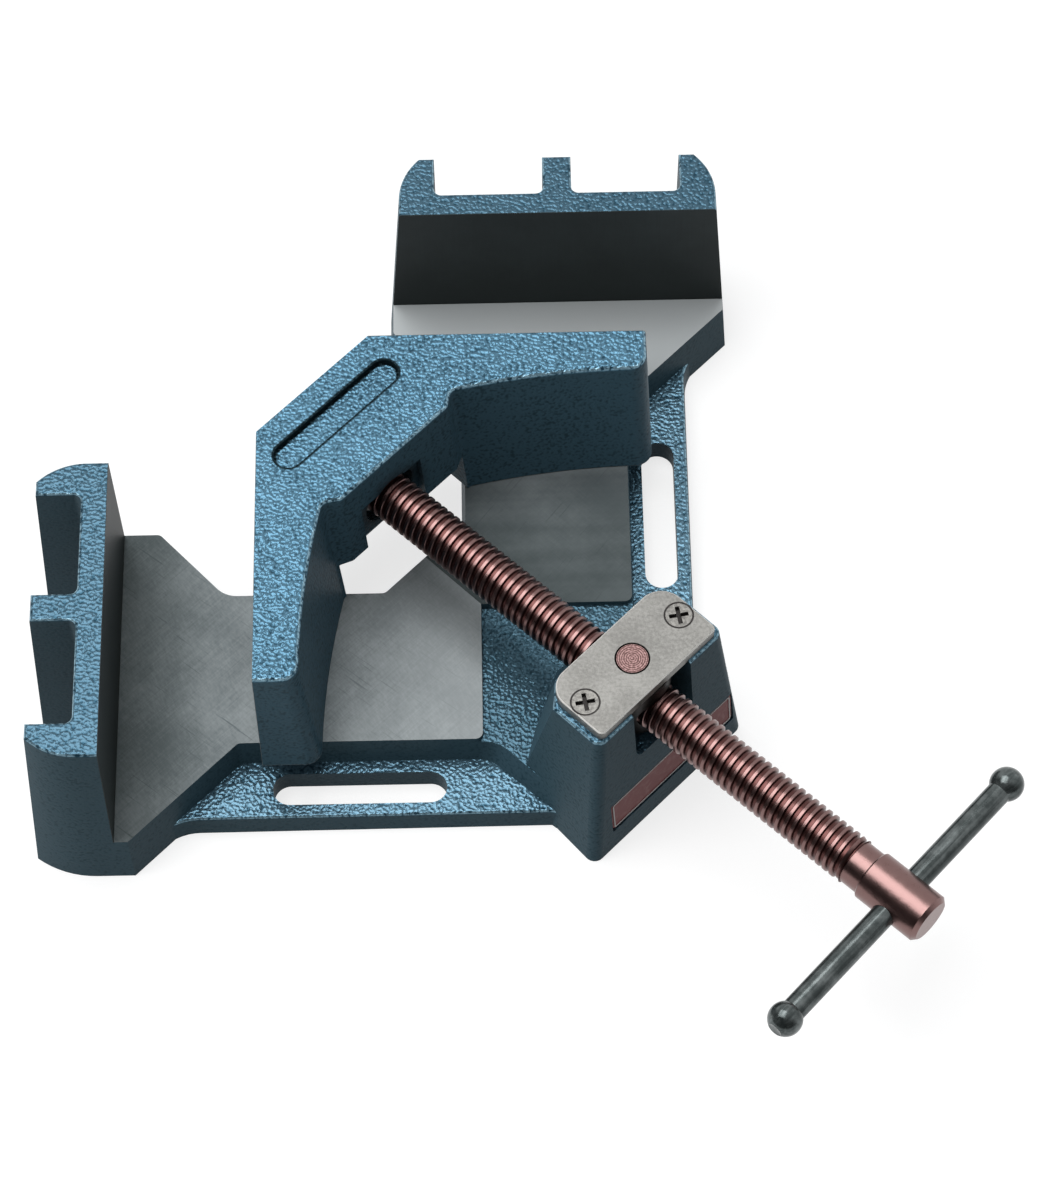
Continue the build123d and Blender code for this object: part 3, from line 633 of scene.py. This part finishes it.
def copper_finish():
    """Copper plating: painted shade and more roughness in the thread's roots, with crests and head left bright."""
    finish = Finish("copper_screw", Metallic=1.0)
    place = finish.place()
    x, y, z = finish.axes(place)
    from_x = x - SWIVEL[0]
    from_y = y - SWIVEL[1]
    radius = distance(from_x * ACROSS[0] + from_y * ACROSS[1], z - SWIVEL[2])
    plain = from_x * OUTWARD[0] + from_y * OUTWARD[1] > THREAD_END
    # Painted shade in the thread's roots; the crests and the head are left bright.
    painted_light = radius.ramp(ROOT, CREST) * (1 - plain) + plain
    tarnish = finish.noise(place, 420, 4, 0.65)
    level = (painted_light * 0.65 + tarnish * 0.6).ramp(0.15, 1.05)
    finish.feed(Base_Color=finish.blend(level, COPPER_DARK, COPPER_BRIGHT))
    finish.feed(Roughness=0.30 - painted_light * 0.06 + tarnish * 0.10)
    finish.bump(tarnish, TARNISH_HEIGHT)
    return finish.material


def smoothed(piece):
    """Shades a piece smooth, with its sharper edges kept."""
    piece.data.shade_smooth()
    piece.data.set_sharp_from_angle(angle=SHARP_FROM)


def spindle():
    """The thread and the CAD solid's plain ends, as one piece."""
    points, faces = thread()
    end_points, end_faces = journal_and_head()
    faces += [tuple(len(points) + corner for corner in face) for face in end_faces]
    piece = mesh_piece("spindle_dressed", np.concatenate((points, end_points)), faces, copper_finish())
    smoothed(piece)
    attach(piece, "screw")
    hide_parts("spindle")


spindle()


# Tommy bar. Black oxide on bar and knobs. The right knob is a ball pressed on the bar, and the left one a ball
# with its end faced nearly flat. The bar ends inside them, and all three are turned about its axis.
BAR_STATION = 0.231
BAR_SLID = -0.0011
BAR_RADIUS = 0.0039
BAR_TURN = -0.7547
KNOB_PLACE = 0.053
KNOB_RADIUS = 0.0055
KNOB_COLUMNS = 40
# Angles on a ball from its outer pole, in degrees: where it meets the bar, and where a faced end starts.
BALL_END = 134.8
FACED_FROM = 27
BALL_STEPS = 20
FACED_STEPS = 16
FACE_DISH = 0.0006
BORE_DEPTH = 0.0035
OXIDE_DARK = (0.042, 0.052, 0.052, 1)
OXIDE_WORN = (0.190, 0.212, 0.212, 1)
DRAWN_SIZE = (0.0009, 0.03, 0.0009)
OXIDE_HEIGHT = 0.00002


def oxide_finish():
    """Black oxide, worn grey in patches and in fine lines along the bar."""
    finish = Finish("black_oxide", Metallic=0.7)
    place = finish.place()
    drawn = finish.noise(finish.stretched(place, DRAWN_SIZE, BAR_TURN), 1, 3, 0.6)
    worn = finish.noise(place, 160, 4, 0.65)
    finish.feed(Base_Color=finish.blend((drawn * 0.4 + worn * 0.6).ramp(0.38, 0.75), OXIDE_DARK, OXIDE_WORN))
    finish.feed(Roughness=0.15 + worn * 0.10)
    finish.bump(drawn * 0.5 + worn * 0.3, OXIDE_HEIGHT)
    return finish.material


oxide = oxide_finish()


def knob_profile(start, steps):
    """Points (along the bar, out from it) of a ball: radius x (cos, sin) of the angles from a start to where it
    meets the bar, and then the bore."""
    angle = np.radians(np.linspace(start, BALL_END, steps + 1))
    ball = np.stack((np.cos(angle), np.sin(angle)), axis=-1) * KNOB_RADIUS
    return ball.tolist() + [(BORE_DEPTH, BAR_RADIUS), (BORE_DEPTH, 0)]


def turned(name, node, middle, side, profile):
    """Lathe form round the bar's axis: hub + reach along the bar + out x (cos, sin) of the turn."""
    hub = SWIVEL + OUTWARD * BAR_STATION + ACROSS * (BAR_SLID + middle)
    reach, out = np.array(profile).T[:, :, None, None]
    turn = (np.arange(KNOB_COLUMNS) * 2 * pi / KNOB_COLUMNS)[:, None]
    points = hub + ACROSS * side * reach + (OUTWARD * np.cos(turn) + UPWARD * np.sin(turn)) * out
    piece = mesh_piece(name, points.reshape(-1, 3), ringed(points), oxide)
    smoothed(piece)
    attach(piece, "bar")
    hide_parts(node)


bar_end = KNOB_PLACE + BORE_DEPTH
bar = [(-bar_end, 0), (-bar_end, BAR_RADIUS), (bar_end, BAR_RADIUS), (bar_end, 0)]
faced = knob_profile(FACED_FROM, FACED_STEPS)
turned("bar_dressed", "tommy_bar", 0, 1, bar)
turned("right_knob_dressed", "right_bar_knob", KNOB_PLACE, 1, knob_profile(0, BALL_STEPS))
turned("left_knob_dressed", "left_bar_knob", -KNOB_PLACE, -1, [(faced[0][0] - FACE_DISH, 0)] + faced)


# Swivel. The screw's tip turns in a cross-bored barrel that stands in the moving jaw, between a thrust washer and
# a retaining ring. All are plain turned steel, darkened by grease.
STEEL_GREASY = (0.030, 0.026, 0.022, 1)
STEEL_CLEAN = (0.160, 0.155, 0.150, 1)


def steel_finish():
    """Steel in patches of grease."""
    finish = Finish("greased_steel", Metallic=0.8)
    grime = finish.noise(finish.place(), 260, 4, 0.6)
    finish.feed(Base_Color=finish.blend(grime.ramp(0.35, 0.7), STEEL_GREASY, STEEL_CLEAN))
    finish.feed(Roughness=0.30 + grime * 0.25)
    return finish.material


steel = steel_finish()
for node in ("swivel_barrel", "thrust_washer", "retaining_ring"):
    refinish(node, steel)


# Moving jaw. The second casting, in the same hammered paint, with its two outer faces and its underside ground
# bare. The recess on its top has a line of painted shade round it, and grease has spread from the screw's socket.
MOVING_FACE = 0.1181
JAW_UNDERSIDE = 0.0219
JAW_BEAD_HEIGHT = 0.00066
SOCKET = SWIVEL + OUTWARD * 0.016
GREASE_REACH = (0.009, 0.021)
GREASE_RAGGED = 0.006
GREASE_TOP = 0.073
POCKET_MIDDLE = (-0.092368, 0.088677)
POCKET_HALF = 0.02155
POCKET_RADIUS = 0.00475
POCKET_LINE = 0.0007
OUTLINED_FROM = 0.06
# Painted shade in a line round the recess.
PAINT_RECESS_SHADE = (0.006, 0.014, 0.018, 1)


def moving_jaw_finish():
    """The paint of the whole casting, bare on its ground planes, then a line of painted shade round the recess, an
    oval made of all points at one distance from a short line, and the grease within a ragged distance of the
    socket."""
    finish = Finish("moving_jaw_paint", Specular_IOR_Level=0.05)
    place = finish.place()
    x, y, z = finish.axes(place)
    paint, *texture = hammered_paint(finish, place, PAINT_FRESH)
    on_left = abs(x + MOVING_FACE) < SKIN
    on_right = abs(y - MOVING_FACE) < SKIN
    bare = (on_left + on_right + (abs(z - JAW_UNDERSIDE) < SKIN)).least(1.0)
    metal, grain = ground_metal(finish, place, 0.35, turn=pi / 4, grit=0.2)
    along, across = on_diagonals(x - POCKET_MIDDLE[0], y - POCKET_MIDDLE[1])
    from_line = abs(distance((abs(along) - POCKET_HALF).most(0.0), across) - POCKET_RADIUS)
    # Painted shade along the recess's edge.
    recess_outline_shade = (1 - from_line.ramp(POCKET_LINE * 0.7, POCKET_LINE * 1.5)) * (z > OUTLINED_FROM)
    away = finish.node("ShaderNodeVectorMath", {"operation": "DISTANCE"}, {0: place, 1: SOCKET}, "Value")
    ragged = away + finish.noise(place, 300, 3, 0.6) * GREASE_RAGGED
    greasy = (1 - ragged.ramp(*GREASE_REACH)) * (z < GREASE_TOP)
    colour = finish.blend(recess_outline_shade, finish.blend(bare, paint, metal), PAINT_RECESS_SHADE)
    colour = finish.blend(greasy, colour, GREASE_AND_SHADE)
    feed_casting(finish, colour, texture, bare, grain, bare * 0.30, JAW_BEAD_HEIGHT)
    return finish.material


refinish("moving_jaw", moving_jaw_finish())
